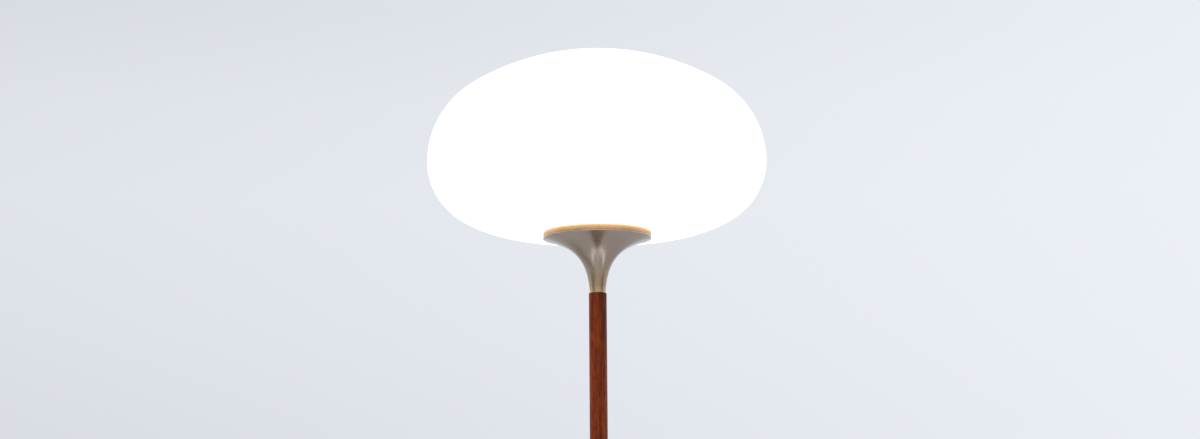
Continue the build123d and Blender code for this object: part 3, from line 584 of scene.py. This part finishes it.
def shadeWallPath(form, inset):
    # one face of the glass, from the foot of its neck up over the belly to the middle of its crown
    low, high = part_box("glass_shade")
    widest = high.z - form["crownHeight"]
    crownRadius = touchingArc(high.x, form["crownHeight"], form["crownShoulder"])
    crownCentre = (0.0, high.z - crownRadius)
    upperCentre = (high.x - form["crownShoulder"], widest)
    bellyRadius = touchingArc(high.x - form["bellyLowRadius"], form["bellyDepth"], form["bellyShoulder"])
    lowerCentre = (high.x - form["bellyShoulder"], widest)
    bellyCentre = (form["bellyLowRadius"], widest - form["bellyDepth"] + bellyRadius)
    upperTurn = math.degrees(math.atan2(upperCentre[1] - crownCentre[1], upperCentre[0]))
    lowerTurn = math.degrees(math.atan2(lowerCentre[1] - bellyCentre[1], lowerCentre[0] - bellyCentre[0]))
    neck = form["neckRadius"] - inset
    bellyStart = -90 - math.degrees(
        math.asin((form["bellyLowRadius"] - neck) / (bellyRadius - inset))
    )
    belly = arcPath(bellyCentre, bellyRadius - inset, bellyStart, lowerTurn, 40)
    lower = arcPath(lowerCentre, form["bellyShoulder"] - inset, lowerTurn, 0, 28)
    upper = arcPath(upperCentre, form["crownShoulder"] - inset, 0, upperTurn, 26)
    crown = arcPath(crownCentre, crownRadius - inset, upperTurn, 90, 34)
    crown[-1, 0] = 0.0
    neckEnd = (neck, low.z)
    return straightPath(neckEnd, belly[0]), np.vstack([belly, lower[1:], upper[1:], crown[1:]])


def makeShade(form):
    # the glass in one outline: down inside from the crown, round the foot of its neck and up outside
    innerNeck, innerBowl = shadeWallPath(form, form["wall"])
    outerNeck, outerBowl = shadeWallPath(form, 0.0)
    foot = straightPath(innerNeck[0], outerNeck[0])
    outline = roundedOutline(
        [innerBowl[::-1], innerNeck[::-1], foot, outerNeck, outerBowl],
        [form["innerCorner"], form["endRound"], form["endRound"], form["outerCorner"]],
    )

    def blown(radius, height, angle):
        # slow waves round and up the glass, drawn inwards and fading out towards the neck
        wave = 0.5 + sum(
            0.25 * np.sin(turns * angle + climb * height + start) for turns, climb, start in form["waves"]
        )
        free = np.clip((radius - form["neckRadius"]) / form["swellFrom"], 0, 1)
        return radius - form["blownSwell"] * wave * free, height

    return turnedSurface(outline, form["sides"], blown)


addPiece("opalShade", makeShade(shadeForm), "shade", "opal_glass", "glass_shade")


# Gasket and felt

gasketForm = {"width": 4.7 * mm, "edgeRound": 0.5 * mm, "sides": 192}
feltForm = {
    "edgeRound": 0.6 * mm,
    "sides": 256,
    "rows": 40,
    "lumps": 0.12 * mm,
    "edgeWidth": 2 * mm,        # the rim that frays and has no lumps
    "ripples": (310.0, 190.0, 270.0, 230.0),    # radians per metre: across, its bend, along, its bend
    "bend": 2.0,
    "frays": (97, 41),          # turns round the rim
}


def ringOutline(inner, outer, low, high, edgeRound):
    # a rectangle with rounded corners, from its inner top corner down and round
    corners = [(inner, high), (inner, low), (outer, low), (outer, high)]
    paths = [straightPath(corners[i], corners[(i + 1) % 4]) for i in range(4)]
    return roundedOutline(paths, [edgeRound] * 4)


def makeGasket(form):
    # a flat ring with rounded corners, turned
    low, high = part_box("shade_gasket")
    outline = ringOutline(high.x - form["width"], high.x, low.z, high.z, form["edgeRound"])
    return turnedSurface(outline, form["sides"])


def makeFelt(form):
    # a round pad; its underside is lifted a little by bent sine waves, and its rim frayed, inwards only
    low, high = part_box("felt_pad")
    outline = roundedOutline(
        [
            straightPath((0, low.z), (high.x, low.z), form["rows"]),
            straightPath((high.x, low.z), (high.x, high.z)),
            straightPath((high.x, high.z), (0, high.z), form["rows"]),
        ],
        [form["edgeRound"], form["edgeRound"]],
    )

    def pressed(radius, height, angle):
        x = radius * np.cos(angle)
        y = radius * np.sin(angle)
        across, acrossBend, along, alongBend = form["ripples"]
        lump = 0.5 + 0.25 * (
            np.sin(across * x + form["bend"] * np.sin(acrossBend * y))
            + np.sin(along * y + form["bend"] * np.sin(alongBend * x))
        )
        edge = np.clip((radius - high.x + form["edgeWidth"]) / form["edgeWidth"], 0, 1)
        under = np.where(height < (low.z + high.z) / 2, 1, 0)
        fray = 1 + np.sin(form["frays"][0] * angle) * np.sin(form["frays"][1] * angle)
        return radius - edge * form["lumps"] * fray, height + under * form["lumps"] * lump * (1 - edge)

    return turnedSurface(outline, form["sides"], pressed)


addPiece("siliconeGasket", makeGasket(gasketForm), "stand", "gasket_rubber", "shade_gasket")
felt = addPiece("feltPad", makeFelt(feltForm), "stand", "felt", "felt_pad")


# Screw threads of the bulb and the socket

threadForm = {
    "pitch": 3.629 * mm,
    "turns": 6,
    "depth": 0.65 * mm,
    "wall": 0.4 * mm,
    "sides": 96,
    "rowsPerTurn": 14,
    "edgeRound": 0.1 * mm,
    "capFoldRound": 0.2 * mm,       # inside corner of the bulb cap's floor
    "capCornerRound": 0.6 * mm,     # and its outside corner
    "capFloorHole": 6.5 * mm,       # radius of the hole for the lead to the solder tip
    "capPlainFoot": 1.2 * mm,       # below the cap's first turn
}


def helix(form, start, end):
    # a rounded thread: the radius rises and falls with a cosine of height over pitch less a share of a
    # turn, and fades in and out over half a pitch at both ends
    def threaded(radius, height, angle):
        phase = 2 * np.pi * (height / form["pitch"]) - angle
        reach = form["pitch"] / 2
        fade = np.clip((height - start) / reach, 0, 1) * np.clip((end - height) / reach, 0, 1)
        fade = fade * fade * (3 - 2 * fade)
        return radius + form["depth"] * (0.5 - 0.5 * np.cos(phase)) * fade, height
    return threaded


def makeBulbCap(form):
    # rolled cap: a floor, a threaded wall and a plain skirt at its top
    low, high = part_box("bulb_cap")
    root = high.x - form["depth"]
    threadTop = low.z + form["pitch"] * form["turns"]
    count = form["turns"] * form["rowsPerTurn"]
    inner = root - form["wall"]
    hole = form["capFloorHole"]
    floorTop = low.z + form["wall"]
    outline = roundedOutline(
        [
            straightPath((inner, high.z), (inner, floorTop), count),
            straightPath((inner, floorTop), (hole, floorTop)),
            straightPath((hole, floorTop), (hole, low.z)),
            straightPath((hole, low.z), (root, low.z)),
            straightPath((root, low.z), (root, high.z), count),
            straightPath((root, high.z), (inner, high.z)),
        ],
        [form["capFoldRound"], 0, 0, form["capCornerRound"], form["edgeRound"], form["edgeRound"]],
    )
    return turnedSurface(outline, form["sides"], helix(form, low.z + form["capPlainFoot"], threadTop))


def makeScrewShell(form):
    # threaded brass shell of the socket, open at both ends
    low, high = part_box("screw_shell")
    outer = high.x - form["depth"]
    inner = outer - form["wall"]
    count = form["turns"] * form["rowsPerTurn"]
    outline = roundedOutline(
        [
            straightPath((inner, high.z), (inner, low.z), count),
            straightPath((inner, low.z), (outer, low.z)),
            straightPath((outer, low.z), (outer, high.z), count),
            straightPath((outer, high.z), (inner, high.z)),
        ],
        [form["edgeRound"]] * 4,
    )
    return turnedSurface(outline, form["sides"], helix(form, low.z, high.z))


addPiece("bulbScrewCap", makeBulbCap(threadForm), "bulb", "cap_metal", "bulb_cap")
addPiece("socketScrewShell", makeScrewShell(threadForm), "stand", "socket_brass", "screw_shell")


# Finish of every node that keeps its own shape

for subpart in frame["record"]["subparts"]:
    node = nodes[subpart["node"]]
    if not node.hide_render:
        node.data.materials.clear()
        isPaintedGlowRing = subpart["node"] == "gallery_ring"
        node.data.materials.append(paintedGlowRing if isPaintedGlowRing else finishes[subpart["material_slot"]])
print("nodes finished")


# Studio: a pale floor and room, two soft lights, and three strips that make the glints on the metal

studio = {
    "floor": "d0cecb",
    "floorPatch": "c8c6c3",
    "patch": 400 * mm,
    "floorRadius": 5.0,         # beyond it the pale wall begins
    "floorSides": 96,
    "floorDrop": 0.2 * mm,      # keeps it clear of the felt
    # the wall as it is seen: by height, brightest level with the lamp's head, and lighter to the right
    "wall": [(0.0, "c9cdd3"), (1.0, "c8ccd2"), (0.072, "d1d5db"), (0.12, "d7dbe1"), (0.177, "dbdfe5"),
             (0.22, "d8dce2"), (0.262, "cfd3d9")],
    "wallLit": "f1f5fb",
    "litFrom": (-0.5, 0.5),
    # what the lamp mirrors and is lit by: from the pale wall behind it to the darker room in front of it
    "room": [(0.0, "e4e8ee"), (1.0, "d4cabf"), (0.345, "e0dedb"), (0.52, "dedad5"), (0.64, "978d83"),
             (0.78, "8d8378"), (0.92, "c9beb2")],
    "ceiling": "f4f3f0",
    "ceilingFrom": (0.3, 0.75), # sine of the height above the horizon where it begins and is full
}

lampsAim = {"soft": (0.0, 0.0, 0.9), "strip": (0.0, 0.0, 1.1)}
# kind, place, width, height, power and colour
lamps = {
    "keySoftbox": ("soft", (-2.2, -3.4, 2.8), 2.4, 2.4, 80.0, "fff4e6"),
    "fillSoftbox": ("soft", (3.2, -1.6, 2.2), 2.0, 2.4, 10.0, "f2f5ff"),
    "leftStrip": ("strip", (-0.24, -0.23, 0.4), 0.16, 0.6, 0.25, "fcf8ef"),
    "rightStrip": ("strip", (0.31, -0.2, 0.4), 0.16, 0.75, 0.38, "fcf8ef"),
    "middleStrip": ("strip", (0.02, -0.3, 0.4), 0.2, 0.45, 0.06, "fcf8ef"),
}


def makeRoom(form):
    world = bpy.data.worlds.new("paleRoom")
    bpy.context.scene.world = world
    world.use_nodes = True
    tree = world.node_tree
    tree.nodes.clear()
    looking = addNode(tree, "TexCoord").outputs["Generated"]
    parts = addNode(tree, "SeparateXYZ", [looking]).outputs
    # half the cosine of the turn from the front, plus a half: 1 in front of the lamp and 0 behind it
    flat = addNode(tree, "VectorMath", [looking, (1, 1, 0)], operation="MULTIPLY")
    level = addNode(tree, "VectorMath", [flat], operation="NORMALIZE")
    halfCosine = addNode(tree, "VectorMath", [level, (0, -0.5, 0)], operation="DOT_PRODUCT")
    frontness = addNode(tree, "Math", [halfCosine, 0.5], operation="ADD")
    room = addNode(tree, "ValToRGB", [frontness], ramp=form["room"])
    overhead = addNode(tree, "MapRange", [parts["Z"], *form["ceilingFrom"], 0, 1])
    room = addNode(tree, "Mix", [overhead, room, form["ceiling"]], data_type="RGBA")
    wall = addNode(tree, "ValToRGB", [parts["Z"]], ramp=form["wall"])
    litShare = addNode(tree, "MapRange", [parts["X"], *form["litFrom"], 0, 1])
    wall = addNode(tree, "Mix", [litShare, wall, form["wallLit"]], data_type="RGBA")
    cameraRay = addNode(tree, "LightPath").outputs["Is Camera Ray"]
    seen = addNode(tree, "Mix", [cameraRay, room, wall], data_type="RGBA")
    surround = addNode(tree, "Background", {"Color": seen, "Strength": 1.0})
    addNode(tree, "OutputWorld", [surround])


def addLamp(name, kind, place, width, height, power, colour):
    # a soft lamp lights the room and leaves no glint, and a strip makes glints and lights nothing else
    light = bpy.data.lights.new(name, "AREA")
    light.shape = "RECTANGLE"
    light.size = width
    light.size_y = height
    light.energy = power
    light.color = linear(colour)[:3]
    lamp = bpy.data.objects.new(name, light)
    bpy.context.scene.collection.objects.link(lamp)
    lamp.location = place
    facing = Vector(lampsAim[kind]) - Vector(place)
    lamp.rotation_euler = facing.to_track_quat("-Z", "Y").to_euler()
    lamp.visible_camera = False
    lamp.visible_diffuse = kind == "soft"
    lamp.visible_glossy = kind == "strip"


def makeFloor(form):
    radius = form["floorRadius"]
    outline = np.array([(radius, 0.0), (radius / 2, 0.0), (0.0, 0.0)])
    points, faces = turnedSurface(outline, form["floorSides"])
    mesh = bpy.data.meshes.new("floor")
    mesh.from_pydata((points - np.array([0, 0, form["floorDrop"]])).tolist(), [], faces)
    floor = bpy.data.objects.new("floor", mesh)
    bpy.context.scene.collection.objects.link(floor)
    material, tree, place = startMaterial("paleFloor")
    patches = addNode(tree, "TexNoise", {"Vector": place, "Scale": 1 / form["patch"], "Detail": 4})
    tone = addNode(tree, "Mix", [patches, form["floor"], form["floorPatch"]], data_type="RGBA")
    mesh.materials.append(endMaterial(material, {"Base Color": tone, "Roughness": 0.6}))


makeRoom(studio)
for name, settings in lamps.items():
    addLamp(name, *settings)
makeFloor(studio)


# Camera at the photograph's angle: below the shade, looking up a little

cameraForm = {
    "distance": 2.5,
    "height": 0.7473,
    "sideways": 0.0033,
    "pitch": 9.699,     # degrees above the horizon
    "roll": -0.45,      # degrees; the lamp leans a little in the picture
    "lens": 65.21,      # millimetres, as the sensor's width is
    "sensor": 36.0,
}

cameraData = bpy.data.cameras.new("camera")
cameraData.lens = cameraForm["lens"]
cameraData.sensor_width = cameraForm["sensor"]
camera = bpy.data.objects.new("camera", cameraData)
bpy.context.scene.collection.objects.link(camera)
turned = Matrix.Rotation(math.radians(90 + cameraForm["pitch"]), 4, "X")
rolled = Matrix.Rotation(math.radians(cameraForm["roll"]), 4, "Z")
placed = Matrix.Translation((cameraForm["sideways"], -cameraForm["distance"], cameraForm["height"]))
camera.matrix_world = placed @ turned @ rolled
bpy.context.scene.camera = camera
bpy.context.scene.view_settings.view_transform = "Standard"
print("studio and camera set")
